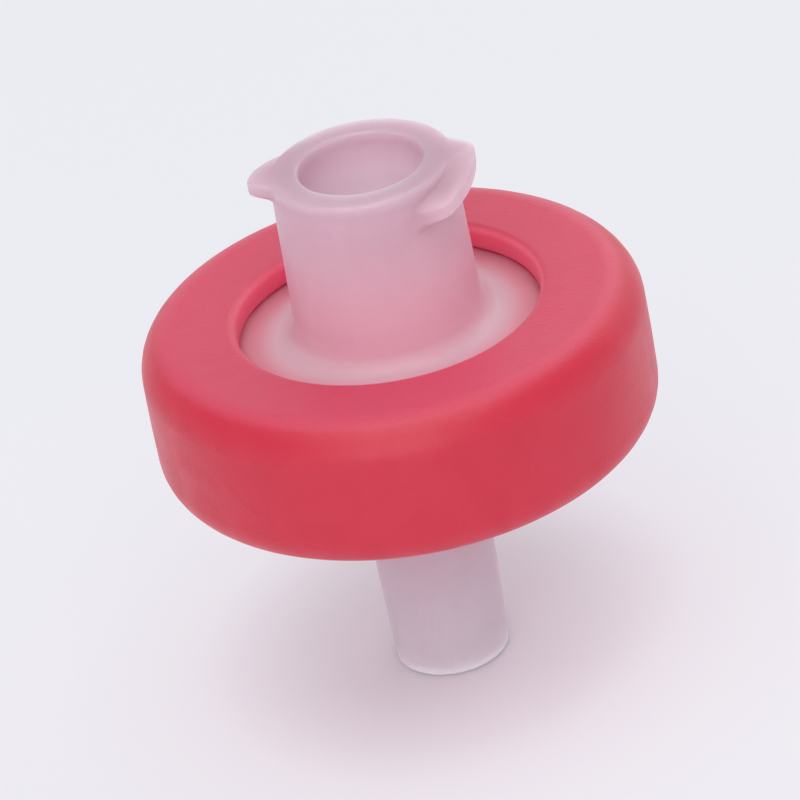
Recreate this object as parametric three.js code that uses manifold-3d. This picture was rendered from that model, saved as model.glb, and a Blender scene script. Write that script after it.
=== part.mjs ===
// A syringe filter for a 13 mm membrane, with a female Luer lock inlet and a male Luer slip outlet.
//
// Two moulded polypropylene halves clamp the round membrane by its edge, and a coloured ring is
// moulded over their joined rims, which holds them together and seals them. A syringe screws on
// the inlet, the liquid spreads over the membrane, passes through it, and runs between the support
// ribs under it to the outlet.
//
// Units are millimetres. +Z runs along the flow axis from the outlet to the inlet, and the origin is
// the centre of the outlet's end face. The two lock lugs lie on the X axis.

import * as THREE from "three";
import { mergeVertices } from "three/addons/utils/BufferGeometryUtils.js";
import Module from "manifold-3d";

const wasm = await Module();
wasm.setup();

// ---------------------------------------------------------------- driving dimensions

const membraneDiameter = 13;
const membraneThickness = 0.2;
const clampWidth = 1.3; // band of membrane that the halves grip, all round

const seam = 0.02; // gap left between two pieces that touch
const nestFit = 0.05; // radial play of the membrane in its nest, and of the inlet half's plug
const nestWall = 0.6; // wall of the outlet half that stands round the membrane
const nestHeight = 0.9; // how far that wall stands above the support ribs

const inletPlate = 1.95; // from the inlet half's outer face to the membrane
const outletPlate = 1.6; // from the outlet half's outer face to the membrane

const ringWall = 1.6; // outside the halves' rims
const ringLip = 0.85; // how far the ring stands proud of each half's face
const ringLap = 1.9; // how far it reaches in over each half's face
const ringEdgeRound = 1.3;
const ringLipRound = 0.3;

const luerTaper = 0.06; // on diameter, for each mm of length, male and female alike

const hubHeight = 6.3; // above the inlet half's face
const hubWall = 0.98; // at the rim
const hubDraft = 0.02; // outward slope of the hub's side, towards its base
const hubFillet = 0.7;
const rimRound = 0.15;
const socketMouth = 4.3; // diameter of the female taper at the rim
const mouthChamfer = 0.1;
const socketFloor = 0.35; // web between the socket and the space over the membrane
const orificeDiameter = 1.8; // hole through that web

const plenumDepth = 0.3; // space over the membrane, in which the liquid spreads
const spreaderCount = 8; // radial ribs in that space
const spreaderWidth = 0.4;
const spreaderGap = 0.6; // from the orifice's edge to the ribs' inner ends

const lugSpan = 7.8; // across the two lock lugs
const lugRoot = 1.5; // width of a lug's section at the hub's side
const lugCrest = 0.4; // and at its crest
const lugArc = THREE.MathUtils.degToRad(80);
const lugRunout = lugArc / 4; // over which each end of a lug sinks into the hub
const lugLead = 5; // rise of the lock thread in one turn
const lugDrop = 0.6; // from the rim down to the middle of a lug

const spoutLength = 9.5; // below the outlet half's face
const spoutTip = 3.97; // diameter of the male taper at its end
const spoutRound = 0.2;
const spoutFillet = 0.8;
const spoutBore = 2.1;

const drainDepth = 0.4; // of the grooves and channels under the membrane
const drainWidth = 0.5; // of the radial channels
const drainCount = 8;
const wellFlare = 0.55; // by which the bore widens where the channels run into it
const supportRib = 0.4; // width of a round support rib
const supportPitch = 0.9; // spacing aimed at for the round ribs, which are then evened out

// Facets of a full turn, steps along a lug, and the most that a facet of a rounded edge may cut in.
const turn = 64;
const lugSteps = 12;
const roundTolerance = 0.01;

// ---------------------------------------------------------------- sizes that follow

const membraneRadius = membraneDiameter / 2;
const flowRadius = membraneRadius - clampWidth;
const plugRadius = membraneRadius;
const nestRadius = membraneRadius + nestFit;
const flangeRadius = nestRadius + nestWall;
const openingRadius = flangeRadius - ringLap;
const ringRadius = flangeRadius + ringWall;

const outletFaceZ = spoutLength;
const supportZ = outletFaceZ + outletPlate;
const membraneZ = supportZ + seam;
const clampZ = membraneZ + membraneThickness + seam;
const nestTopZ = supportZ + nestHeight;
const inletFaceZ = clampZ + inletPlate;
const rimZ = inletFaceZ + hubHeight;
const plenumTopZ = clampZ + plenumDepth;
const socketFloorZ = plenumTopZ + socketFloor;
const drainZ = supportZ - drainDepth;
const ringBottomZ = outletFaceZ - ringLip;
const ringTopZ = inletFaceZ + ringLip;

const mouthRadius = socketMouth / 2;
const rimRadius = mouthRadius + hubWall;
const orificeRadius = orificeDiameter / 2;
const boreRadius = spoutBore / 2;
const wellRadius = boreRadius + wellFlare;

// ---------------------------------------------------------------- building blocks

// A point of an outline: its distance from the axis, and its height.
const at = (radius, height) => new THREE.Vector2(radius, height);

// A rounded edge or a fillet about a centre, over `quarters` quarter turns from quarter `start`.
// Quarter 0 points away from the axis and 1 points up. A negative count of quarters runs clockwise.
function arc(centre, radius, start, quarters) {
  const facetAngle = 2 * Math.acos(1 - roundTolerance / radius);
  const steps = Math.ceil((Math.abs(quarters) * Math.PI) / 2 / facetAngle);
  return Array.from({ length: steps + 1 }, (_, i) => {
    const angle = ((start + (quarters * i) / steps) * Math.PI) / 2;
    return at(centre.x + radius * Math.cos(angle), centre.y + radius * Math.sin(angle));
  });
}

// The solid of a closed geometry, which can be joined and cut.
function solidOf(geometry) {
  const bare = new THREE.BufferGeometry().setIndex(geometry.index);
  bare.setAttribute("position", geometry.getAttribute("position"));
  const merged = mergeVertices(bare);
  return new wasm.Manifold(
    new wasm.Mesh({
      numProp: 3,
      vertProperties: merged.attributes.position.array,
      triVerts: Uint32Array.from(merged.index.array),
    }),
  );
}

// The solid swept by an outline that turns round the Z axis. The outline runs anticlockwise, with
// the axis on its left.
function revolve(outline) {
  const closed = [...outline, outline[0].clone()];
  return solidOf(new THREE.LatheGeometry(closed, turn).rotateX(Math.PI / 2));
}

// `count` solids evenly spaced round the axis, each made by `make(angle)`.
function around(count, make) {
  return Array.from({ length: count }, (_, i) => make((i * 2 * Math.PI) / count));
}

// A bar that runs out from the axis, between two radii and two heights.
function radialBar(angle, width, inner, outer, low, high) {
  const bar = new THREE.BoxGeometry(outer - inner, width, high - low);
  return solidOf(bar.translate((inner + outer) / 2, 0, (low + high) / 2).rotateZ(angle));
}

// A named sub-part from its finished solid.
function subPart(name, solid, material) {
  const { vertProperties, triVerts } = solid.getMesh();
  const indexed = new THREE.BufferGeometry().setIndex(new THREE.BufferAttribute(triVerts, 1));
  indexed.setAttribute("position", new THREE.BufferAttribute(vertProperties, 3));
  const geometry = indexed.toNonIndexed();
  geometry.computeVertexNormals();
  const mesh = new THREE.Mesh(geometry, material);
  mesh.name = name;
  return mesh;
}

// ---------------------------------------------------------------- outlet half

// The outline of the face under the membrane, from its edge in to the well: round ribs with
// grooves between them, the innermost rib on the well's edge.
function supportFace() {
  const width = flowRadius - wellRadius;
  const count = Math.max(1, Math.round(width / supportPitch));
  return Array.from({ length: count }, (_, i) => {
    const inner = wellRadius + ((count - 1 - i) * width) / count;
    const outer = inner + supportRib;
    return [at(outer, drainZ), at(outer, supportZ), at(inner, supportZ), at(inner, drainZ)];
  }).flat();
}

function outletHousing() {
  const tipRadius = spoutTip / 2;
  const baseRadius = tipRadius + (luerTaper / 2) * (spoutLength - spoutFillet);
  const body = revolve([
    at(boreRadius, 0),
    ...arc(at(tipRadius - spoutRound, spoutRound), spoutRound, -1, 1),
    ...arc(at(baseRadius + spoutFillet, outletFaceZ - spoutFillet), spoutFillet, 2, -1),
    at(flangeRadius, outletFaceZ),
    at(flangeRadius, nestTopZ),
    at(nestRadius, nestTopZ),
    at(nestRadius, supportZ),
    at(flowRadius, supportZ),
    at(flowRadius, drainZ),
    ...supportFace(),
    at(boreRadius, drainZ - wellFlare),
  ]);
  const channels = around(drainCount, (angle) =>
    radialBar(angle, drainWidth, boreRadius, flowRadius, drainZ, supportZ + drainDepth),
  );
  return channels.reduce((cut, channel) => cut.subtract(channel), body);
}

// ---------------------------------------------------------------- inlet half

// One lug of the lock thread: a bar with a trapezoid section, bent round the hub on a right-hand
// helix. It is buried in the hub's wall by half of it, and its ends slope down into the hub.
function lockLug(middleAngle) {
  const root = rimRadius - hubWall / 2;
  const sunkCrest = rimRadius - hubWall / 8;
  const crest = lugSpan / 2;
  const section = new THREE.Shape([
    at(root, -lugRoot / 2),
    at(crest, -lugCrest / 2),
    at(crest, lugCrest / 2),
    at(root, lugRoot / 2),
  ]);
  const bar = new THREE.ExtrudeGeometry(section, {
    depth: lugArc,
    steps: lugSteps,
    bevelEnabled: false,
  });
  const corners = bar.getAttribute("position");
  for (let i = 0; i < corners.count; i++) {
    const angle = lugArc / 2 - corners.getZ(i);
    const rise = Math.min(1, (lugArc / 2 - Math.abs(angle)) / lugRunout);
    const onCrest = corners.getX(i) > rimRadius;
    const radius = onCrest ? THREE.MathUtils.lerp(sunkCrest, crest, rise) : root;
    const height = rimZ - lugDrop + corners.getY(i) + (lugLead * angle) / (2 * Math.PI);
    corners.setXYZ(i, radius * Math.cos(angle), radius * Math.sin(angle), height);
  }
  return solidOf(bar.rotateZ(middleAngle));
}

// All that lies above the rim, which trims the lugs' raised ends.
function aboveRim() {
  const height = lugRoot + lugLead;
  const slab = new THREE.CylinderGeometry(lugSpan, lugSpan, height);
  return solidOf(slab.rotateX(Math.PI / 2).translate(0, 0, rimZ + height / 2));
}

function inletHousing() {
  const baseRadius = rimRadius + hubDraft * (hubHeight - hubFillet);
  const floorRadius = mouthRadius - (luerTaper / 2) * (rimZ - socketFloorZ);
  const chamferRadius = mouthRadius - (luerTaper / 2) * mouthChamfer;
  const body = revolve([
    at(orificeRadius, plenumTopZ),
    at(flowRadius, plenumTopZ),
    at(flowRadius, clampZ),
    at(plugRadius, clampZ),
    at(plugRadius, nestTopZ + seam),
    at(flangeRadius, nestTopZ + seam),
    at(flangeRadius, inletFaceZ),
    ...arc(at(baseRadius + hubFillet, inletFaceZ + hubFillet), hubFillet, -1, -1),
    ...arc(at(rimRadius - rimRound, rimZ - rimRound), rimRound, 0, 1),
    at(mouthRadius + mouthChamfer, rimZ),
    at(chamferRadius, rimZ - mouthChamfer),
    at(floorRadius, socketFloorZ),
    at(orificeRadius, socketFloorZ),
  ]);
  const spreaders = around(spreaderCount, (angle) =>
    radialBar(
      angle,
      spreaderWidth,
      orificeRadius + spreaderGap,
      flowRadius + clampWidth / 2,
      clampZ,
      plenumTopZ + socketFloor / 2,
    ),
  );
  const additions = [...spreaders, ...around(2, lockLug)];
  return additions.reduce((whole, piece) => whole.add(piece), body).subtract(aboveRim());
}

// ---------------------------------------------------------------- ring and membrane

// The ring has a C section: its two lips lap over the halves' faces and its web closes the joint.
function overmoldRing() {
  const edge = ringRadius - ringEdgeRound;
  const lipEnd = openingRadius + ringLipRound;
  return revolve([
    ...arc(at(edge, ringBottomZ + ringEdgeRound), ringEdgeRound, -1, 1),
    ...arc(at(edge, ringTopZ - ringEdgeRound), ringEdgeRound, 0, 1),
    ...arc(at(lipEnd, ringTopZ - ringLipRound), ringLipRound, 1, 1),
    at(openingRadius, inletFaceZ + seam),
    at(flangeRadius + seam, inletFaceZ + seam),
    at(flangeRadius + seam, outletFaceZ - seam),
    at(openingRadius, outletFaceZ - seam),
    ...arc(at(lipEnd, ringBottomZ + ringLipRound), ringLipRound, 2, 1),
  ]);
}

function membrane() {
  const disc = new THREE.CylinderGeometry(membraneRadius, membraneRadius, membraneThickness, turn);
  return solidOf(disc.rotateX(Math.PI / 2).translate(0, 0, membraneZ + membraneThickness / 2));
}

// ---------------------------------------------------------------- assembly

const naturalPolypropylene = new THREE.MeshStandardMaterial({
  color: 0xe6d3da,
  roughness: 0.38,
  metalness: 0,
});
const redPolypropylene = new THREE.MeshStandardMaterial({
  color: 0xd8364a,
  roughness: 0.42,
  metalness: 0,
});
const filterMembrane = new THREE.MeshStandardMaterial({
  color: 0xfbfaf7,
  roughness: 0.9,
  metalness: 0,
});

const syringeFilter = new THREE.Group();
syringeFilter.add(
  subPart("outlet_housing", outletHousing(), naturalPolypropylene),
  subPart("membrane", membrane(), filterMembrane),
  subPart("inlet_housing", inletHousing(), naturalPolypropylene),
  subPart("overmold_ring", overmoldRing(), redPolypropylene),
);

export default syringeFilter;
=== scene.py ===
"""A disposable syringe filter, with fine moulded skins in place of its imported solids.

The translucent halves and the red ring get turned skins with the radii, parting lines, ribs and lock
lugs that their moulds give them. Sizes are in millimetres until a mesh is made, and meshes are in metres,
in the frame of the solids: the flow axis is Z, the inlet is up, and the lock lugs lie on X.
"""

import logging
import math
from dataclasses import dataclass, field
from enum import Enum
from typing import Any, ClassVar

import bmesh
import bpy
import numpy as np
from mathutils import Matrix, Quaternion, Vector


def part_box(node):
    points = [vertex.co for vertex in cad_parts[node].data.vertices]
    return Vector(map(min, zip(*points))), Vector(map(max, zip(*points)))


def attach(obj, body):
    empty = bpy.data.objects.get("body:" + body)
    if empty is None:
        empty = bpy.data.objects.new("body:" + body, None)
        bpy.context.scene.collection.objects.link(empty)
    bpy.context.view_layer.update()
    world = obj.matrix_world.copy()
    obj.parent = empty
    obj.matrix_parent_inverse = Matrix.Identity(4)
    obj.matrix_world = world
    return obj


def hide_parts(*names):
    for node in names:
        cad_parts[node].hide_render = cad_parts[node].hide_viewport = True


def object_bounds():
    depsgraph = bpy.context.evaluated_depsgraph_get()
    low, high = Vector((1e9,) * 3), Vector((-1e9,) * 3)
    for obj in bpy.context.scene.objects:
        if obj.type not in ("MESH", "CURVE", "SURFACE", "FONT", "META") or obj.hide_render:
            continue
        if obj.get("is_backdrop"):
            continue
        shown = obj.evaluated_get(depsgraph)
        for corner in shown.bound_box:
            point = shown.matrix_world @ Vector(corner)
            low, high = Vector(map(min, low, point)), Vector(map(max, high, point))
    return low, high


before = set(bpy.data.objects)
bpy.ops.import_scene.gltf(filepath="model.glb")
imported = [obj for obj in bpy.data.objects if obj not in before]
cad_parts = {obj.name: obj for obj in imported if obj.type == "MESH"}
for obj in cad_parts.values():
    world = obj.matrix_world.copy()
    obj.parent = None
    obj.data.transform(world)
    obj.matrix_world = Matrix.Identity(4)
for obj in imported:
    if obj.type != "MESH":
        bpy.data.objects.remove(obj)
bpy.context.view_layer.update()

log = logging.getLogger("syringe_filter")

MM = 0.001  # in metres
WELD = 0.001 * MM  # points closer than this become one

Colour = tuple[float, float, float]
Span = tuple[float, float]  # where a mask is 0, and where it is 1

BLACK = (0.0, 0.0, 0.0)


class Slot(Enum):
    """The finishes that the record names."""

    NATURAL = "natural_polypropylene"
    RED = "red_polypropylene"
    MEMBRANE = "filter_membrane"


class Join(Enum):
    """How a tool solid meets the piece that it works on."""

    ADD = "UNION"
    CUT = "DIFFERENCE"


# ---- turned skins


@dataclass(frozen=True)
class Corner:
    """A corner of an outline in a plane through the axis."""

    radius: float  # distance from the axis
    height: float  # height above the origin
    rounding: float = 0.0  # radius of its arc, or 0 for a sharp corner
    rows: int = 1  # parts of the straight run to the next corner


@dataclass
class TurnedSkin:
    """A closed skin turned round the Z axis.

    `angle`, `radius` and `height` hold its points row by row, and may be changed before it is built.
    """

    corners: list[Corner]  # the outline, anticlockwise with the axis on its left
    segments: int = 384  # facets in a full turn
    on_axis: bool = False  # whether the outline starts and ends on the axis, as on a disc
    arc_step: float = 11.0  # largest angle between two points of a rounded corner, in degrees
    hold: float = 0.04  # from a rounded corner to the row that keeps the run beyond it flat
    angle: np.ndarray = field(init=False)
    radius: np.ndarray = field(init=False)
    height: np.ndarray = field(init=False)

    def __post_init__(self) -> None:
        """Spreads the outline into a grid of rows and segments."""
        outline = self._outline()
        self.angle = np.arange(self.segments) * (2 * math.pi / self.segments)
        self.radius = np.repeat(outline[:, :1], self.segments, axis=1)
        self.height = np.repeat(outline[:, 1:], self.segments, axis=1)

    def _outline(self) -> np.ndarray:
        """Draws the outline.

        Returns:
            Its points, with each rounded corner as an arc.
        """
        arcs = [self._arc(i) for i in range(len(self.corners))]
        points: list[np.ndarray] = []
        for i, corner in enumerate(self.corners):
            points.extend(arcs[i])
            if not (self.on_axis and i == len(arcs) - 1):
                points.extend(self._run(arcs[i][-1], arcs[(i + 1) % len(arcs)][0], corner.rows))
        return np.array(points)

    def _arc(self, index: int) -> list[np.ndarray]:
        """Returns the points of one corner.

        Args:
            index: The corner's place in the outline.

        Returns:
            One point for a sharp corner, or the points along its arc.
        """
        before, corner, after = (self.corners[(index + k) % len(self.corners)] for k in (-1, 0, 1))
        tip = np.array([corner.radius, corner.height])
        if corner.rounding <= 0:
            return [tip]
        back = np.array([before.radius, before.height]) - tip
        ahead = np.array([after.radius, after.height]) - tip
        back /= np.linalg.norm(back)
        ahead /= np.linalg.norm(ahead)
        half = math.acos(float(np.clip(back @ ahead, -1, 1))) / 2
        bisector = (back + ahead) / np.linalg.norm(back + ahead)
        centre = tip + bisector * corner.rounding / math.sin(half)
        spoke = tip + back * corner.rounding / math.tan(half) - centre
        sweep = math.pi - 2 * half
        side = math.copysign(1.0, float(back[0] * ahead[1] - back[1] * ahead[0]))
        steps = max(2, math.ceil(math.degrees(sweep) / self.arc_step))
        points = []
        for k in range(steps + 1):
            turn = -side * sweep * k / steps
            across = np.array([-spoke[1], spoke[0]])
            points.append(centre + spoke * math.cos(turn) + across * math.sin(turn))
        return points

    def _run(self, start: np.ndarray, end: np.ndarray, rows: int) -> list[np.ndarray]:
        """Returns the points between two corners.

        Args:
            start: Where the run begins.
            end: Where it ends.
            rows: Parts between the two holding rows.

        Returns:
            The inner points of the run, without its ends.
        """
        length = float(np.linalg.norm(end - start))
        if length < 3 * self.hold:
            return []
        edge = self.hold / length
        return [start + (end - start) * share for share in np.linspace(edge, 1 - edge, rows + 1)]

    def build(self, name: str) -> bpy.types.Object:
        """Makes the object.

        Args:
            name: The piece's name.

        Returns:
            The new object, linked to the scene and smooth apart from its sharp corners.
        """
        rows = len(self.radius)
        across, along = self.radius * np.cos(self.angle), self.radius * np.sin(self.angle)
        points = np.stack([across, along, self.height], axis=-1).reshape(-1, 3) * MM
        row, column = np.meshgrid(
            np.arange(rows - 1 if self.on_axis else rows), np.arange(self.segments), indexing="ij"
        )
        next_row, next_column = (row + 1) % rows, (column + 1) % self.segments
        corners = [(row, column), (row, next_column), (next_row, next_column), (next_row, column)]
        faces = np.stack([r * self.segments + c for r, c in corners], axis=-1).reshape(-1, 4)
        mesh = bpy.data.meshes.new(name)
        mesh.from_pydata(points.tolist(), [], faces.tolist())
        if self.on_axis:
            shell = bmesh.new()
            shell.from_mesh(mesh)
            bmesh.ops.remove_doubles(shell, verts=shell.verts, dist=WELD)
            shell.to_mesh(mesh)
            shell.free()
        made = bpy.data.objects.new(name, mesh)
        bpy.context.scene.collection.objects.link(made)
        shade(made)
        return made


def shade(piece: bpy.types.Object, sharpest: float = 35.0) -> None:
    """Shades a piece smooth, with a crisp edge wherever it turns by more than an angle in degrees."""
    piece.data.shade_smooth()
    piece.data.set_sharp_from_angle(angle=math.radians(sharpest))


def eased(share: np.ndarray) -> np.ndarray:
    """Returns shares held to 0..1 and eased at both ends."""
    held = np.clip(share, 0.0, 1.0)
    return held * held * (3 - 2 * held)


def off_angle(angle: np.ndarray, middle: float) -> np.ndarray:
    """Returns how far angles lie from a middle one, from -pi to pi."""
    return (angle - middle + math.pi) % (2 * math.pi) - math.pi


@dataclass(frozen=True)
class Spokes:
    """Equal straight bars round the axis, used to add ribs or to cut channels."""

    count: int  # bars in a full turn
    width: float  # width of each
    inner: float  # radius at which each begins
    outer: float  # radius at which each ends
    low: float  # height of the bars' lower faces
    high: float  # height of their upper faces

    def work(self, piece: bpy.types.Object, join: Join) -> None:
        """Adds the bars to a piece, or cuts them out of it.

        Args:
            piece: The piece that is worked on.
            join: Whether the bars are added or cut.
        """
        shell = bmesh.new()
        for k in range(self.count):
            bar = bmesh.ops.create_cube(shell, size=1.0)["verts"]
            size = Vector((self.outer - self.inner, self.width, self.high - self.low)) * MM
            bmesh.ops.scale(shell, vec=size, verts=bar)
            shift = Vector(((self.inner + self.outer) / 2, 0, (self.low + self.high) / 2)) * MM
            bmesh.ops.translate(shell, vec=shift, verts=bar)
            turn = Matrix.Rotation(2 * math.pi * k / self.count, 3, "Z")
            bmesh.ops.rotate(shell, cent=(0, 0, 0), matrix=turn, verts=bar)
        mesh = bpy.data.meshes.new("spokes")
        shell.to_mesh(mesh)
        shell.free()
        bars = bpy.data.objects.new("spokes", mesh)
        bpy.context.scene.collection.objects.link(bars)
        meeting = piece.modifiers.new("spokes", "BOOLEAN")
        meeting.object, meeting.operation, meeting.solver = bars, join.value, "EXACT"
        seen = bpy.context.evaluated_depsgraph_get()
        worked = bpy.data.meshes.new_from_object(piece.evaluated_get(seen))
        piece.modifiers.clear()
        plain, piece.data = piece.data, worked
        worked.name = piece.name
        bpy.data.meshes.remove(plain)
        bpy.data.objects.remove(bars)
        shade(piece)


# ---- shader graphs


@dataclass(frozen=True)
class Noise:
    """A noise that runs through a finish."""

    scale: float  # features for each millimetre
    detail: float = 2.0  # octaves that are added
    stir: float = 0.0  # how far it is stirred


@dataclass(frozen=True)
class Tint:
    """A colour that is laid over others."""

    colour: Colour
    share: float = 0.9  # how much of it shows where it lies fully


class Signal:
    """A number, colour or vector that varies over a surface. Arithmetic on a number adds Math nodes."""

    def __init__(self, graph: "Graph", socket: bpy.types.NodeSocket) -> None:
        """Wraps an output socket of a graph."""
        self.graph = graph
        self.socket = socket

    def __add__(self, other: "Signal | float") -> "Signal":
        """Returns the sum."""
        return self.graph.maths("ADD", self, other)

    def __sub__(self, other: "Signal | float") -> "Signal":
        """Returns the difference."""
        return self.graph.maths("SUBTRACT", self, other)

    def __rsub__(self, other: float) -> "Signal":
        """Returns the difference from a number."""
        return self.graph.maths("SUBTRACT", other, self)

    def __mul__(self, other: "Signal | float") -> "Signal":
        """Returns the product."""
        return self.graph.maths("MULTIPLY", self, other)

    def __abs__(self) -> "Signal":
        """Returns the size without its sign."""
        return self.graph.maths("ABSOLUTE", self)

    __radd__ = __add__
    __rmul__ = __mul__


Input = Signal | float | tuple[float, ...]
Inputs = dict[str | int, Input]


class Graph:
    """The node tree of a material or of the studio's sky."""

    def __init__(self, owner: bpy.types.Material | bpy.types.World) -> None:
        """Empties the owner's tree and starts it anew.

        Args:
            owner: The material or world.
        """
        self.owner = owner
        owner.use_nodes = True
        self.tree = owner.node_tree
        self.tree.nodes.clear()

    def node(
        self,
        kind: str,
        settings: dict[str, Any] | None = None,
        inputs: Inputs | None = None,
        output: str | int = 0,
    ) -> Signal:
        """Adds a node.

        Args:
            kind: The node's type.
            settings: Its properties, which are set first.
            inputs: Values or links, by the name or the number of the socket.
            output: The output socket that is wanted.

        Returns:
            That output.
        """
        made = self.tree.nodes.new(kind)
        for key, value in (settings or {}).items():
            setattr(made, key, value)
        for key, value in (inputs or {}).items():
            if isinstance(value, Signal):
                self.tree.links.new(value.socket, made.inputs[key])
            else:
                made.inputs[key].default_value = value
        return Signal(self, made.outputs[output])

    def end(self, shader: Signal, kind: str) -> None:
        """Links a shader to an output node of that type."""
        self.tree.links.new(shader.socket, self.tree.nodes.new(kind).inputs["Surface"])

    def maths(self, operation: str, *values: Signal | float) -> Signal:
        """Adds a Math node with that operation on the values."""
        return self.node("ShaderNodeMath", {"operation": operation}, dict(enumerate(values)))

    def mix(self, share: Signal, below: Signal | Colour, above: Signal | Colour) -> Signal:
        """Lays one colour over another.

        Args:
            share: How much of the upper colour shows.
            below: The lower colour.
            above: The upper colour.

        Returns:
            The mixed colour.
        """
        layers = [c if isinstance(c, Signal) else (*c, 1.0) for c in (below, above)]
        inputs = {0: share, 6: layers[0], 7: layers[1]}
        return self.node("ShaderNodeMix", {"data_type": "RGBA"}, inputs, output=2)

    def layer(self, base: Colour, *tints: tuple[Tint, Signal]) -> Signal | Colour:
        """Lays tints over a colour, from the lowest to the uppermost.

        Args:
            base: The colour below them all.
            *tints: Each tint with the mask that says where it lies.

        Returns:
            The colour of the whole.
        """
        colour: Signal | Colour = base
        for tint, mask in tints:
            colour = self.mix(mask * tint.share, colour, tint.colour)
        return colour

    def ease(self, value: Signal, span: Span) -> Signal:
        """Returns a mask that eases from 0 to 1 as a value runs through a span."""
        inputs = {"Value": value, "From Min": span[0], "From Max": span[1]}
        return self.node("ShaderNodeMapRange", {"interpolation_type": "SMOOTHSTEP"}, inputs)

    def place(self) -> Signal:
        """Returns the place on the piece, in millimetres."""
        where = self.node("ShaderNodeTexCoord", output="Object")
        return self.node("ShaderNodeVectorMath", {"operation": "SCALE"}, {0: where, "Scale": 1 / MM})

    def stretched(self, place: Signal, stretch: tuple[float, ...]) -> Signal:
        """Returns a place with each of its parts multiplied."""
        return self.node("ShaderNodeVectorMath", {"operation": "MULTIPLY"}, {0: place, 1: stretch})

    def height(self, place: Signal) -> Signal:
        """Returns the height of a place."""
        return self.node("ShaderNodeSeparateXYZ", None, {0: place}, output="Z")

    def from_axis(self, place: Signal) -> Signal:
        """Returns the distance of a place from the flow axis."""
        flat = self.stretched(place, (1.0, 1.0, 0.0))
        return self.node("ShaderNodeVectorMath", {"operation": "LENGTH"}, {0: flat}, output="Value")

    def noise(self, place: Signal, noise: Noise) -> Signal:
        """Returns a noise from 0 to 1, read at a place."""
        inputs = {"Vector": place, "Scale": noise.scale, "Detail": noise.detail, "Distortion": noise.stir}
        return self.node("ShaderNodeTexNoise", None, inputs)

    def bump(self, relief: Signal) -> Signal:
        """Returns the normal of a surface that is raised by a relief in millimetres."""
        return self.node("ShaderNodeBump", None, {"Height": relief, "Distance": MM}, output="Normal")

    def principled(self, inputs: Inputs) -> bpy.types.Material:
        """Ends a material's tree with a Principled shader.

        Args:
            inputs: Values and links of the shader's sockets.

        Returns:
            The finished material.
        """
        shader = self.node("ShaderNodeBsdfPrincipled", {"subsurface_method": "RANDOM_WALK"}, inputs)
        self.end(shader, "ShaderNodeOutputMaterial")
        return self.owner


# ---- finishes


@dataclass(frozen=True)
class Interior:
    """What a material does with the light that enters it."""

    ior: float  # how strongly it bends the light
    weight: float  # how much of the light is scattered below the surface
    reach: Colour  # how far red, green and blue go, as shares of the scale
    scale: float  # the furthest way, in millimetres

    def inputs(self) -> Inputs:
        """Sets the shader up.

        Returns:
            The values of its sockets.
        """
        return {
            "IOR": self.ior,
            "Subsurface Weight": self.weight,
            "Subsurface Radius": self.reach,
            "Subsurface Scale": self.scale * MM,
        }


@dataclass(frozen=True)
class MouldedSkin:
    """The satin surface that a sparked mould leaves on a plastic."""

    cloud: Noise  # the drifts in the plastic
    grain: Noise  # the grain of the mould
    wave: Noise  # the slight waviness of the faces
    grain_height: float  # in millimetres
    wave_height: float  # in millimetres
    smoothest: float  # roughness where it is smoothest
    grain_roughness: float  # what the grain adds to it
    cloud_roughness: float = 0.06  # what the drifts add to it
    cloud_span: Span = (0.35, 0.7)  # noise at a drift's edge, and where it is densest

    def clouds(self, graph: Graph, place: Signal) -> Signal:
        """Returns the mask of the drifts."""
        return graph.ease(graph.noise(place, self.cloud), self.cloud_span)

    def inputs(self, graph: Graph, place: Signal, clouds: Signal) -> Inputs:
        """Works out how rough and how even the surface is.

        Args:
            graph: The material's tree.
            place: Where the noises are read.
            clouds: The mask of the drifts.

        Returns:
            The links of the shader's sockets.
        """
        grain, wave = graph.noise(place, self.grain), graph.noise(place, self.wave)
        return {
            "Roughness": self.smoothest + grain * self.grain_roughness + clouds * self.cloud_roughness,
            "Normal": graph.bump(wave * self.wave_height + grain * self.grain_height),
        }


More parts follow.
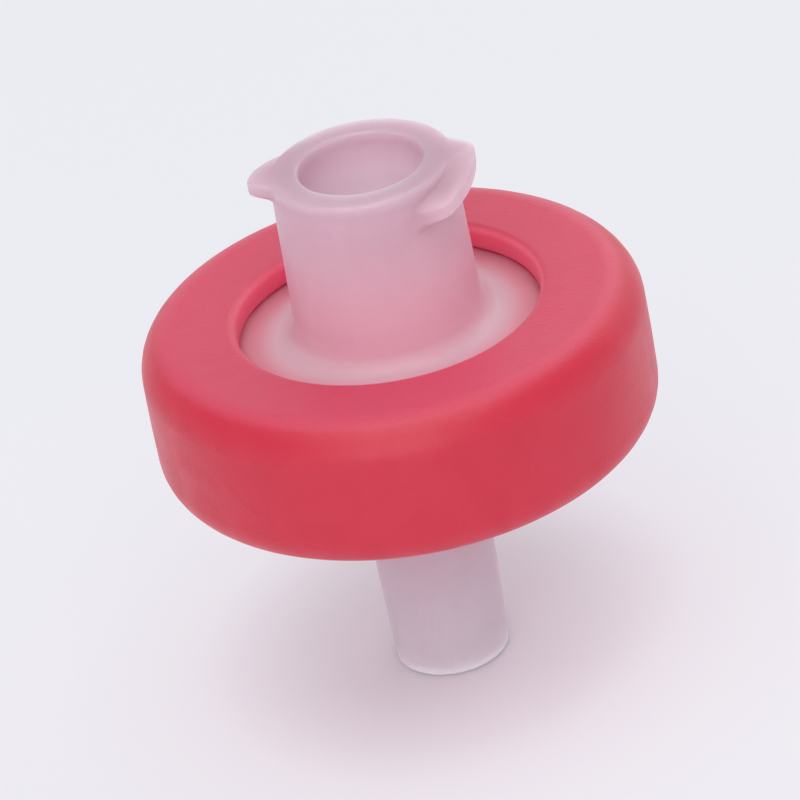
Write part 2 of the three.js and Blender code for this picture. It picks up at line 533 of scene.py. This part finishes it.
@dataclass(frozen=True)
class NaturalPolypropylene:
    """Milky, unpigmented polypropylene with the satin of a sparked mould.

    The ring's red light is painted into the plastic beside it, fading along the hub and the spout, and
    light and shade are painted into the faces, the socket, the rim and the spout's end. Each span says
    where its mask is 0 and where it is 1, in millimetres.
    """

    ring_middle: float  # height of the middle of the red ring
    rim_height: float  # height of the socket's rim
    milk: Colour = (0.43, 0.29, 0.335)  # the bare plastic, far from the ring
    cloud: Tint = Tint((0.51, 0.37, 0.42), share=0.35)  # its denser drifts
    ring_red_bounce: Tint = Tint((0.64, 0.38, 0.44))  # painted red light that the ring casts on the hub and the spout
    face_red_light: Tint = Tint((0.76, 0.50, 0.56))  # the round faces between them and the ring: painted red light from the ring, and painted light against the shade at the hub's foot
    lip_red_bounce: Tint = Tint((0.80, 0.22, 0.28))  # painted red light from the ring's lips on the plastic right against them
    rim: Tint = Tint((0.385, 0.265, 0.305))  # painted shade that dims the socket's rim and the lugs' upper edges
    socket_painted_light: Tint = Tint((0.64, 0.54, 0.585))  # painted light on the socket's wall, where the light gathers
    deep_painted_light: Tint = Tint((0.97, 0.84, 0.87), share=0.95)  # painted light further down the socket
    tip: Tint = Tint((0.60, 0.50, 0.55), share=0.85)  # the spout's end, furthest from the ring, painted paler against the shade under the ring
    through: Colour = (0.08, 0.056, 0.064)  # light that reaches the socket through the hub's wall
    ring_red_bounce_span: Span = (8.5, 2.2)  # from the ring's middle, for the painted red light
    under_span: Span = (1.0, -1.0)  # above the ring's middle, for the lower half
    face_red_light_span: Span = (3.0, 3.5)  # from the axis, for the faces' painted light
    face_red_light_depth: Span = (3.2, 2.2)  # from the ring's middle, for the faces' painted light
    spout_inset: float = 0.95  # how much nearer to the axis the lower face begins
    lip_red_bounce_span: Span = (3.6, 4.9)  # from the axis, for the painted red light at the lips
    wall_span: Span = (2.35, 2.1)  # from the axis, for the socket
    floor_span: Span = (8.4, 8.0)  # below the rim, for the socket
    rim_shade_span: Span = (0.8, 0.3)  # below the rim, for its painted shade
    socket_painted_light_span: Span = (-0.1, 1.7)  # below the rim, for the socket's painted light
    deep_painted_light_span: Span = (1.6, 4.6)  # below the rim, for the deeper painted light
    through_span: Span = (0.3, 6.6)  # below the rim, for the light
    spout_end_light_span: Span = (4.0, 10.5)  # below the ring's middle, for the spout's painted light
    skin: MouldedSkin = MouldedSkin(
        cloud=Noise(scale=0.35, detail=3.0, stir=0.8),
        grain=Noise(scale=9.0, detail=3.0),
        wave=Noise(scale=0.8, detail=1.0),
        grain_height=0.0022,
        wave_height=0.006,
        smoothest=0.29,
        grain_roughness=0.10,
    )
    inner: Interior = Interior(ior=1.49, weight=1.0, reach=(1.0, 0.86, 0.9), scale=4.5)

    def material(self) -> bpy.types.Material:
        """Mixes the finish.

        Returns:
            The material.
        """
        graph = Graph(bpy.data.materials.new("natural_polypropylene"))
        place = graph.place()
        height, from_axis = graph.height(place), graph.from_axis(place)
        over_middle = height - self.ring_middle
        from_ring, depth = abs(over_middle), self.rim_height - height
        clouds = self.skin.clouds(graph, place)
        under = graph.ease(over_middle, self.under_span)
        face_red_light = graph.ease(from_axis + under * self.spout_inset, self.face_red_light_span)
        face_red_light = face_red_light * graph.ease(from_ring, self.face_red_light_depth)
        socket = graph.ease(from_axis, self.wall_span) * graph.ease(depth, self.floor_span)
        # Most of these layers are painted light and shade: the ring's red light on the hub and faces, the
        # socket's light, the rim's shade and the spout end's light.
        colour = graph.layer(
            self.milk,
            (self.cloud, clouds),
            (self.ring_red_bounce, graph.ease(from_ring, self.ring_red_bounce_span)),
            (self.face_red_light, face_red_light),
            (self.lip_red_bounce, face_red_light * graph.ease(from_axis, self.lip_red_bounce_span)),
            (self.rim, graph.ease(depth, self.rim_shade_span)),
            (self.socket_painted_light, socket * graph.ease(depth, self.socket_painted_light_span)),
            (self.deep_painted_light, socket * graph.ease(depth, self.deep_painted_light_span)),
            (self.tip, under * graph.ease(from_ring, self.spout_end_light_span)),
        )
        gathered = socket * graph.ease(depth, self.through_span)
        return graph.principled(
            {
                "Base Color": colour,
                "Emission Color": graph.mix(gathered, BLACK, self.through),
                "Emission Strength": 1.0,
                **self.skin.inputs(graph, place, clouds),
                **self.inner.inputs(),
            }
        )


@dataclass(frozen=True)
class RedPolypropylene:
    """Red polypropylene, moulded over the halves, with a satin skin."""

    middle: float  # height of the ring's parting line
    red: Colour = (0.52, 0.045, 0.070)  # the ring's body
    dense: Tint = Tint((0.47, 0.036, 0.058), share=0.35)  # the denser drifts of pigment
    lip_tint_and_sheen: Tint = Tint((0.57, 0.082, 0.130))  # the two thin lips over the milky plastic, paler, with a painted sheen on their flat faces
    lip_edge_painted_light: Tint = Tint((0.84, 0.20, 0.27))  # painted light on the lips' inner edges, which light passes through
    lip_sheen_span: Span = (2.45, 2.74)  # from the parting line, for the lips' tint and painted sheen
    lip_edge_light_span: Span = (5.47, 5.27)  # from the axis, for the painted light on the lips' inner edges
    skin: MouldedSkin = MouldedSkin(
        cloud=Noise(scale=0.4, detail=3.0, stir=1.2),
        grain=Noise(scale=8.0, detail=3.0),
        wave=Noise(scale=0.6, detail=1.0),
        grain_height=0.012,
        wave_height=0.008,
        smoothest=0.32,
        grain_roughness=0.12,
    )
    inner: Interior = Interior(ior=1.49, weight=0.6, reach=(1.0, 0.12, 0.14), scale=0.6)

    def material(self) -> bpy.types.Material:
        """Mixes the finish.

        Returns:
            The material.
        """
        graph = Graph(bpy.data.materials.new("red_polypropylene"))
        place = graph.place()
        clouds = self.skin.clouds(graph, place)
        # The lips' paler tint carries a painted sheen, and their inner edges a painted light.
        colour = graph.layer(
            self.red,
            (self.dense, clouds),
            (self.lip_tint_and_sheen, graph.ease(abs(graph.height(place) - self.middle), self.lip_sheen_span)),
            (self.lip_edge_painted_light, graph.ease(graph.from_axis(place), self.lip_edge_light_span)),
        )
        surface = self.skin.inputs(graph, place, clouds)
        return graph.principled({"Base Color": colour, **surface, **self.inner.inputs()})


@dataclass(frozen=True)
class PorousMembrane:
    """White expanded fluoropolymer: matt, soft and finely fibrous."""

    white: Colour = (0.93, 0.93, 0.92)  # the membrane's fibres
    shadow: Tint = Tint((0.80, 0.79, 0.79), share=1.0)  # the pores between them
    pore_span: Span = (0.55, 0.35)  # noise at a pore's edge, and where it is deepest
    stretch: tuple[float, ...] = (1.0, 4.0, 1.0)  # how much finer the fibres are across than along
    fibre: Noise = Noise(scale=3.5, detail=5.0, stir=0.6)
    pore: Noise = Noise(scale=16.0)
    fibre_height: float = 0.0036  # in millimetres
    pore_height: float = 0.0024  # of the pores' edges, in millimetres
    smoothest: float = 0.82  # roughness where it is smoothest
    fibre_roughness: float = 0.16  # what the fibres add to it
    inner: Interior = Interior(ior=1.35, weight=0.3, reach=(1.0, 1.0, 1.0), scale=0.3)

    def material(self) -> bpy.types.Material:
        """Mixes the finish.

        Returns:
            The material.
        """
        graph = Graph(bpy.data.materials.new("filter_membrane"))
        place = graph.place()
        fibre = graph.noise(graph.stretched(place, self.stretch), self.fibre)
        pore = graph.noise(place, self.pore)
        return graph.principled(
            {
                "Base Color": graph.layer(self.white, (self.shadow, graph.ease(pore, self.pore_span))),
                "Roughness": self.smoothest + fibre * self.fibre_roughness,
                "Normal": graph.bump(fibre * self.fibre_height + pore * self.pore_height),
                **self.inner.inputs(),
            }
        )


# ---- pieces


@dataclass(frozen=True)
class Levels:
    """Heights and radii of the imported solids, which the skins share."""

    tip: float  # height of the outlet's end
    outlet_face: float  # height of the outlet half's outer face
    support: float  # height of the ribs that the membrane lies on
    clamp: float  # height of the land that presses on the membrane
    nest_top: float  # height of the wall round the membrane
    inlet_face: float  # height of the inlet half's outer face
    rim: float  # height of the inlet's rim
    ring_low: float  # height of the ring's lower lip
    ring_high: float  # height of its upper lip
    flange: float  # radius of the halves
    ring: float  # radius of the ring
    membrane: float  # radius of the membrane
    seam: float  # gap between pieces that touch

    @classmethod
    def of_solids(cls, seam: float = 0.02, lip: float = 0.85) -> "Levels":
        """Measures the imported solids.

        Args:
            seam: Gap that they keep between pieces that touch.
            lip: How far the ring stands proud of each half's face.

        Returns:
            The measured levels, in millimetres.
        """
        inlet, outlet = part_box("inlet_housing"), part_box("outlet_housing")
        ring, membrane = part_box("overmold_ring"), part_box("membrane")
        return cls(
            tip=outlet[0].z / MM,
            outlet_face=ring[0].z / MM + lip,
            support=membrane[0].z / MM - seam,
            clamp=inlet[0].z / MM,
            nest_top=outlet[1].z / MM,
            inlet_face=ring[1].z / MM - lip,
            rim=inlet[1].z / MM,
            ring_low=ring[0].z / MM,
            ring_high=ring[1].z / MM,
            flange=inlet[1].x / MM,
            ring=ring[1].x / MM,
            membrane=membrane[1].x / MM,
            seam=seam,
        )

    @property
    def ring_middle(self) -> float:
        """Returns the height of the ring's parting line."""
        return (self.ring_low + self.ring_high) / 2


@dataclass
class SubAssembly:
    """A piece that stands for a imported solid."""

    levels: Levels  # heights and radii of the solids
    finish: bpy.types.Material
    node: ClassVar[str]
    slot: ClassVar[Slot]

    def shape(self) -> bpy.types.Object:
        """Makes the bare piece."""
        raise NotImplementedError

    def build(self) -> bpy.types.Object:
        """Makes the piece and puts it in the place of its solid, with its finish.

        Returns:
            The piece.
        """
        piece = self.shape()
        piece.data.materials.clear()
        piece.data.materials.append(self.finish)
        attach(piece, "root")
        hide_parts(self.node)
        return piece


@dataclass
class InletHalf(SubAssembly):
    """The upper half: a female lock hub on a round face, over the space that spreads the liquid."""

    node = "inlet_housing"
    slot = Slot.NATURAL
    rim_radius: float = 3.13  # of the hub at its rim
    hub_draft: float = 0.02  # widening of the hub for each millimetre down
    base_fillet: float = 0.7  # rounding of the hub's foot
    rim_round: float = 0.15  # at the rim's outer edge
    mouth_radius: float = 2.15  # of the socket at the rim
    mouth_round: float = 0.12  # at the rim's inner edge
    socket_taper: float = 0.03  # narrowing of the socket for each millimetre down
    floor_round: float = 0.25  # at the socket's floor
    orifice_radius: float = 0.9  # of the hole in that floor
    orifice_round: float = 0.08  # at the hole's edges
    web: float = 0.35  # thickness of the floor
    plenum: float = 0.3  # height of the space over the membrane
    plenum_round: float = 0.12  # at that space's edge
    flow_radius: float = 5.2  # of that space
    land_round: float = 0.05  # at the land that presses on the membrane
    flange_round: float = 0.06  # at the flange's edges
    lug_reach: float = 3.9  # radius to the lugs' crest
    lug_root: float = 0.56  # half the lugs' height where they leave the hub
    lug_crest: float = 0.2  # half their height at the crest
    lug_arc: float = 80.0  # angle that each spans, in degrees
    lug_runout: float = 20.0  # angle over which each end sinks into the hub, in degrees
    lug_lead: float = 5.0  # height that the lugs' thread climbs in a full turn
    lug_drop: float = 0.6  # depth of the lugs' middle below the rim
    lug_zone: float = 1.3  # how far below that middle the hub has its fine rows
    lug_rows: int = 44  # fine rows from there to the rim
    hub_inside: float = 2.7  # radius that only the hub's outer side passes
    foot_clear: float = 0.05  # gap from the foot's rounding to the lugs and the witness lines
    rib_count: int = 8  # ribs under the web
    rib_width: float = 0.4  # width of each
    rib_inner: float = 1.5  # radius at which each begins
    rib_outer: float = 5.5  # radius at which each ends
    rib_sink: float = 0.15  # how far each reaches into the web
    witness: float = 0.018  # height of the mould's witness lines on the hub
    witness_arc: float = 1.4  # half the angle that each spans, in degrees

    def outline(self) -> list[Corner]:
        """Draws the half's outline.

        Returns:
            Its corners.
        """
        level = self.levels
        plenum_top = level.clamp + self.plenum
        plug_foot = level.nest_top + level.seam
        floor = plenum_top + self.web
        lugs_low = level.rim - self.lug_drop - self.lug_zone
        base = self.rim_radius + self.hub_draft * (level.rim - level.inlet_face)
        above_base = self.rim_radius + self.hub_draft * (level.rim - lugs_low)
        floor_radius = self.mouth_radius - self.socket_taper * (level.rim - floor)
        return [
            Corner(self.orifice_radius, plenum_top, self.orifice_round, rows=6),
            Corner(self.flow_radius, plenum_top, self.plenum_round),
            Corner(self.flow_radius, level.clamp, self.land_round, rows=3),
            Corner(level.membrane, level.clamp, self.land_round),
            Corner(level.membrane, plug_foot, self.land_round),
            Corner(level.flange, plug_foot, self.flange_round),
            Corner(level.flange, level.inlet_face, self.flange_round, rows=12),
            Corner(base, level.inlet_face, self.base_fillet, rows=10),
            Corner(above_base, lugs_low, rows=self.lug_rows),
            Corner(self.rim_radius, level.rim, self.rim_round),
            Corner(self.mouth_radius, level.rim, self.mouth_round, rows=16),
            Corner(floor_radius, floor, self.floor_round, rows=4),
            Corner(self.orifice_radius, floor, self.orifice_round),
        ]

    def lug_relief(self, skin: TurnedSkin) -> np.ndarray:
        """Works out how far the lock lugs stand out.

        Args:
            skin: The bare half.

        Returns:
            What the lugs add to its radius at each point.
        """
        relief = np.zeros_like(skin.radius)
        half_arc, runout = math.radians(self.lug_arc) / 2, math.radians(self.lug_runout)
        for middle in (0.0, math.pi):
            turn = off_angle(skin.angle, middle)
            climb = self.lug_lead * turn / (2 * math.pi)
            off_middle = np.abs(skin.height - (self.levels.rim - self.lug_drop + climb))
            flank = eased((self.lug_root - off_middle) / (self.lug_root - self.lug_crest))
            end = eased((half_arc - np.abs(turn)) / runout)
            relief = np.maximum(relief, flank * end * (self.lug_reach - skin.radius))
        return relief

    def witness_relief(self, skin: TurnedSkin) -> np.ndarray:
        """Returns what the mould's two witness lines add to a skin's radius."""
        off_line = np.minimum(*(np.abs(off_angle(skin.angle, side * math.pi / 2)) for side in (1, -1)))
        return self.witness * np.clip(1 - off_line / math.radians(self.witness_arc), 0, 1)

    def shape(self) -> bpy.types.Object:
        """Makes the bare half.

        Returns:
            The half.
        """
        level = self.levels
        skin = TurnedSkin(self.outline())
        foot = level.inlet_face + self.base_fillet + self.foot_clear
        hub = (skin.radius > self.hub_inside) & (skin.height > foot)
        relief = self.lug_relief(skin) + self.witness_relief(skin)
        skin.radius = skin.radius + np.where(hub, relief, 0.0)
        half = skin.build("inlet_half")
        low, high = level.clamp + level.seam, level.clamp + self.plenum + self.rib_sink
        ribs = Spokes(self.rib_count, self.rib_width, self.rib_inner, self.rib_outer, low, high)
        ribs.work(half, Join.ADD)
        return half


@dataclass
class OutletHalf(SubAssembly):
    """The lower half: a slip spout on a round face, under the ribbed floor that carries the membrane."""

    node = "outlet_housing"
    slot = Slot.NATURAL
    tip_radius: float = 1.985  # of the spout's end
    taper: float = 0.03  # widening of the spout for each millimetre up
    tip_round: float = 0.2  # at the spout's end
    base_fillet: float = 0.8  # rounding of the spout's foot
    bore_radius: float = 1.05
    bore_round: float = 0.1  # at the bore's mouth
    well_flare: float = 0.55  # how far the bore flares below the membrane
    well_round: float = 0.2  # below that flare
    flow_radius: float = 5.2  # of the ribbed floor
    nest_radius: float = 6.55  # of the wall round the membrane
    nest_round: float = 0.08  # at that wall's edge
    seat_round: float = 0.05  # at its foot
    flange_round: float = 0.06  # at the flange's edges and the ribs' tops
    groove: float = 0.4  # depth of the floor between the ribs
    groove_round: float = 0.04  # at the ribs' feet
    rib_width: float = 0.4  # width of the round ribs
    rib_count: int = 4  # how many there are
    channel_width: float = 0.5  # width of the channels that cross them
    channel_count: int = 8  # how many there are
    channel_outer: float = 5.16  # radius at which they end
    channel_sink: float = 0.01  # how far they cut below the floor
    channel_clear: float = 0.3  # how far the cut reaches over the ribs
    arc_step: float = 18.0  # largest angle between two points of a rounded corner, in degrees

    def rib_corners(self, groove_floor: float, well: float) -> list[Corner]:
        """Draws the round ribs, from the outermost in.

        Args:
            groove_floor: Height of the floor between them.
            well: Radius at which the innermost begins.

        Returns:
            Their corners.
        """
        top, pitch = self.levels.support, (self.flow_radius - well) / self.rib_count
        corners: list[Corner] = []
        for k in reversed(range(self.rib_count)):
            inner = well + k * pitch
            outer = inner + self.rib_width
            corners += [
                Corner(outer, groove_floor, self.groove_round),
                Corner(outer, top, self.flange_round),
                Corner(inner, top, self.flange_round),
                Corner(inner, groove_floor, self.groove_round if k else 0.0),
            ]
        return corners

    def outline(self) -> list[Corner]:
        """Draws the half's outline.

        Returns:
            Its corners.
        """
        level = self.levels
        groove_floor = level.support - self.groove
        base = self.tip_radius + self.taper * (level.outlet_face - level.tip)
        return [
            Corner(self.bore_radius, level.tip, self.bore_round),
            Corner(self.tip_radius, level.tip, self.tip_round, rows=24),
            Corner(base, level.outlet_face, self.base_fillet, rows=10),
            Corner(level.flange, level.outlet_face, self.flange_round),
            Corner(level.flange, level.nest_top, self.flange_round),
            Corner(self.nest_radius, level.nest_top, self.nest_round),
            Corner(self.nest_radius, level.support, self.seat_round),
            Corner(self.flow_radius, level.support, self.flange_round),
            Corner(self.flow_radius, groove_floor, self.groove_round),
            *self.rib_corners(groove_floor, self.bore_radius + self.well_flare),
            Corner(self.bore_radius, groove_floor - self.well_flare, self.well_round, rows=16),
        ]

    def shape(self) -> bpy.types.Object:
        """Makes the bare half.

        Returns:
            The half.
        """
        support = self.levels.support
        half = TurnedSkin(self.outline(), arc_step=self.arc_step).build("outlet_half")
        low, high = support - self.groove - self.channel_sink, support + self.channel_clear
        inner, outer = self.bore_radius, self.channel_outer
        channels = Spokes(self.channel_count, self.channel_width, inner, outer, low, high)
        channels.work(half, Join.CUT)
        return half


@dataclass
class Ring(SubAssembly):
    """The ring of C section that is moulded over the halves' rims."""

    node = "overmold_ring"
    slot = Slot.RED
    opening_radius: float = 5.25  # of the opening in each lip
    lip_draft: float = 0.04  # widening of the opening at its outer edge
    lip_round: float = 0.3  # at that edge
    edge_round: float = 1.3  # at the ring's two outer edges
    wall_draft: float = 0.03  # how far the outer wall falls back from the parting line
    hem_round: float = 0.04  # where the lips meet the halves' faces
    inside_round: float = 0.05  # at the corners round the flanges

    def outline(self) -> list[Corner]:
        """Draws the ring's outline.

        Returns:
            Its corners.
        """
        level = self.levels
        wall, opening = level.ring - self.wall_draft, self.opening_radius + self.lip_draft
        inside = level.flange + level.seam
        upper, lower = level.inlet_face + level.seam, level.outlet_face - level.seam
        return [
            Corner(opening, level.ring_low, self.lip_round, rows=6),
            Corner(wall, level.ring_low, self.edge_round, rows=4),
            Corner(level.ring, level.ring_middle, rows=4),
            Corner(wall, level.ring_high, self.edge_round, rows=6),
            Corner(opening, level.ring_high, self.lip_round, rows=3),
            Corner(self.opening_radius, upper, self.hem_round),
            Corner(inside, upper, self.inside_round),
            Corner(inside, lower, self.inside_round),
            Corner(self.opening_radius, lower, self.hem_round, rows=3),
        ]

    def shape(self) -> bpy.types.Object:
        """Makes the bare ring."""
        return TurnedSkin(self.outline()).build("over_moulded_ring")


@dataclass
class Membrane(SubAssembly):
    """The porous disc, with its edge pressed thinner between the halves."""

    node = "membrane"
    slot = Slot.MEMBRANE
    thickness: float = 0.2
    pressed: float = 0.02  # how much thinner the edge is
    clamp_radius: float = 5.3  # radius at which the pressed edge begins
    step: float = 0.15  # width of the slope up from it
    step_round: float = 0.05  # at that slope's upper end
    edge_round: float = 0.03  # at the other corners
    segments: int = 192  # facets in a full turn

    def outline(self) -> list[Corner]:
        """Draws the disc's outline.

        Returns:
            Its corners.
        """
        low, edge = self.levels.support + self.levels.seam, self.levels.membrane
        high = low + self.thickness
        pressed = high - self.pressed
        return [
            Corner(0.0, low, rows=12),
            Corner(edge, low, self.edge_round),
            Corner(edge, pressed, self.edge_round, rows=3),
            Corner(self.clamp_radius, pressed, self.edge_round),
            Corner(self.clamp_radius - self.step, high, self.step_round, rows=12),
            Corner(0.0, high),
        ]

    def shape(self) -> bpy.types.Object:
        """Makes the bare disc."""
        return TurnedSkin(self.outline(), segments=self.segments, on_axis=True).build("membrane_disc")


# ---- studio


@dataclass(frozen=True)
class Softbox:
    """A square soft light that faces the filter."""

    name: str
    azimuth: float  # where it stands round the filter, in degrees
    elevation: float  # how high it stands, in degrees
    distance: float  # how far from the filter, in metres
    size: float  # its side, in metres
    power: float  # its power, in watts

    def build(self, aim: Vector) -> bpy.types.Object:
        """Sets the light up.

        Args:
            aim: The point that it faces.

        Returns:
            The light.
        """
        lamp = bpy.data.lights.new(self.name, "AREA")
        lamp.shape, lamp.size, lamp.energy = "SQUARE", self.size, self.power
        away = heading(self.azimuth, self.elevation)
        made = stand(self.name, lamp, aim + away * self.distance, facing(away))
        made.visible_camera = False
        return made


def heading(azimuth: float, elevation: float) -> Vector:
    """Works out where something stands.

    Args:
        azimuth: Its angle round the filter, in degrees.
        elevation: Its angle above the floor, in degrees.

    Returns:
        The direction to it.
    """
    turn, rise = math.radians(azimuth), math.radians(elevation)
    flat = math.cos(rise)
    return Vector((math.sin(turn) * flat, -math.cos(turn) * flat, math.sin(rise)))


def facing(away: Vector) -> Quaternion:
    """Returns the turn of a light or camera that looks back along a direction."""
    return (-away).to_track_quat("-Z", "Y")


def stand(name: str, data: bpy.types.ID, at: Vector, turn: Quaternion) -> bpy.types.Object:
    """Stands a light or camera in the scene.

    Args:
        name: Its name.
        data: The light or the camera.
        at: Where it stands.
        turn: How it is turned.

    Returns:
        The new object.
    """
    made = bpy.data.objects.new(name, data)
    made.location = at
    made.rotation_mode = "QUATERNION"
    made.rotation_quaternion = turn
    bpy.context.scene.collection.objects.link(made)
    return made


@dataclass
class Studio:
    """The pale floor, the soft lights and the camera."""

    lights: tuple[Softbox, ...] = (
        Softbox("overhead", azimuth=21.0, elevation=78.0, distance=0.36, size=0.34, power=0.70),
        Softbox("behind", azimuth=168.0, elevation=36.0, distance=0.45, size=0.42, power=0.45),
        Softbox("front_fill", azimuth=16.0, elevation=22.0, distance=0.40, size=0.38, power=0.65),
    )
    floor_colour: Colour = (0.83, 0.83, 0.86)
    floor_reach: float = 0.8  # radius of the floor, in metres
    floor_sides: int = 96  # corners of its outline
    floor_grain: Noise = Noise(scale=1.6, detail=3.0)  # its fine grain
    floor_height: float = 0.003  # height of that grain, in millimetres
    floor_smoothest: float = 0.62  # roughness of the floor's smoothest places
    floor_roughness: float = 0.12  # what the grain adds to it
    far_span: Span = (150.0, 600.0)  # where the far floor turns as pale as the sky, in millimetres
    far_glow: Colour = (0.362, 0.352, 0.352)  # light that makes it so
    horizon: Colour = (0.98, 0.98, 1.04)  # colour of the sky near the floor
    zenith: Colour = (0.64, 0.65, 0.69)  # colour of the sky overhead
    sky_span: Span = (0.05, 0.55)  # heights between which the one turns into the other
    azimuth: float = 25.0  # the camera's angle round the filter, in degrees
    elevation: float = 30.0  # its angle above the floor, in degrees
    roll: float = 11.0  # how far it leans, in degrees
    lens: float = 300.0  # focal length, in millimetres
    sensor: float = 36.0  # width of its sensor, in millimetres
    clip: tuple[float, float] = (0.01, 20.0)  # nearest and furthest distance that it sees, in metres
    fill: float = 0.70  # share of the frame that the pieces take up

    def floor_finish(self) -> bpy.types.Material:
        """Mixes the floor's finish.

        Returns:
            The material.
        """
        graph = Graph(bpy.data.materials.new("pale_floor"))
        place = graph.place()
        grain = graph.noise(place, self.floor_grain)
        far = graph.ease(graph.from_axis(place), self.far_span)
        return graph.principled(
            {
                "Base Color": (*self.floor_colour, 1.0),
                "Roughness": self.floor_smoothest + grain * self.floor_roughness,
                "Normal": graph.bump(grain * self.floor_height),
                "Emission Color": graph.mix(far, BLACK, self.far_glow),
                "Emission Strength": 1.0,
            }
        )

    def floor(self) -> bpy.types.Object:
        """Lays the floor.

        Returns:
            The floor.
        """
        mesh = bpy.data.meshes.new("floor")
        turns = np.linspace(0, 2 * math.pi, self.floor_sides, endpoint=False)
        rim = [(self.floor_reach * math.cos(t), self.floor_reach * math.sin(t), 0.0) for t in turns]
        mesh.from_pydata(rim, [], [tuple(range(len(rim)))])
        mesh.materials.append(self.floor_finish())
        floor = bpy.data.objects.new("floor", mesh)
        bpy.context.scene.collection.objects.link(floor)
        floor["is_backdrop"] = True
        return floor

    def sky(self) -> None:
        """Fills the studio with an even light that is brighter round the walls than overhead."""
        bpy.context.scene.world = bpy.data.worlds.new("studio")
        graph = Graph(bpy.context.scene.world)
        rise = graph.height(graph.node("ShaderNodeTexCoord", output="Generated"))
        colour = graph.mix(graph.ease(rise, self.sky_span), self.horizon, self.zenith)
        graph.end(graph.node("ShaderNodeBackground", None, {"Color": colour}), "ShaderNodeOutputWorld")

    def camera(self, pieces: list[bpy.types.Object]) -> bpy.types.Object:
        """Sets the camera up so that the pieces fill its frame.

        Args:
            pieces: What it frames.

        Returns:
            The camera.
        """
        away = heading(self.azimuth, self.elevation)
        turn = facing(away) @ Quaternion((0, 0, 1), math.radians(-self.roll))
        axes = np.array(turn.to_matrix())
        points = np.concatenate([vertices(piece) for piece in pieces]) @ axes
        low, high = points.min(axis=0), points.max(axis=0)
        width = float((high - low)[:2].max()) / self.fill
        lens = bpy.data.cameras.new("camera")
        lens.lens, lens.sensor_width = self.lens, self.sensor
        lens.clip_start, lens.clip_end = self.clip
        centre = Vector(axes @ ((low + high) / 2))
        made = stand("camera", lens, centre + away * (width * self.lens / self.sensor), turn)
        bpy.context.scene.camera = made
        return made

    def build(self, pieces: list[bpy.types.Object]) -> None:
        """Sets up the studio.

        Args:
            pieces: What it shows.
        """
        self.floor()
        self.sky()
        low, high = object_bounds()
        for light in self.lights:
            light.build((low + high) / 2)
        self.camera(pieces)
        bpy.context.scene.view_settings.view_transform = "Khronos PBR Neutral"


def vertices(piece: bpy.types.Object) -> np.ndarray:
    """Reads a piece's points.

    Args:
        piece: The piece.

    Returns:
        The points in the frame of the solids, in metres.
    """
    points = np.empty(len(piece.data.vertices) * 3, np.float32)
    piece.data.vertices.foreach_get("co", points)
    return points.reshape(-1, 3)


# ---- assembly


def main() -> None:
    logging.basicConfig(level=logging.INFO, format="%(name)s: %(message)s")
    levels = Levels.of_solids()
    natural = NaturalPolypropylene(levels.ring_middle, levels.rim).material()
    red = RedPolypropylene(levels.ring_middle).material()
    porous = PorousMembrane().material()
    sub_assemblies = (
        OutletHalf(levels, natural),
        Membrane(levels, porous),
        InletHalf(levels, natural),
        Ring(levels, red),
    )
    pieces = []
    for sub_assembly in sub_assemblies:
        piece = sub_assembly.build()
        pieces.append(piece)
        log.info("%s: %d faces", piece.name, len(piece.data.polygons))
    Studio().build(pieces)


if __name__ == "__main__":
    main()
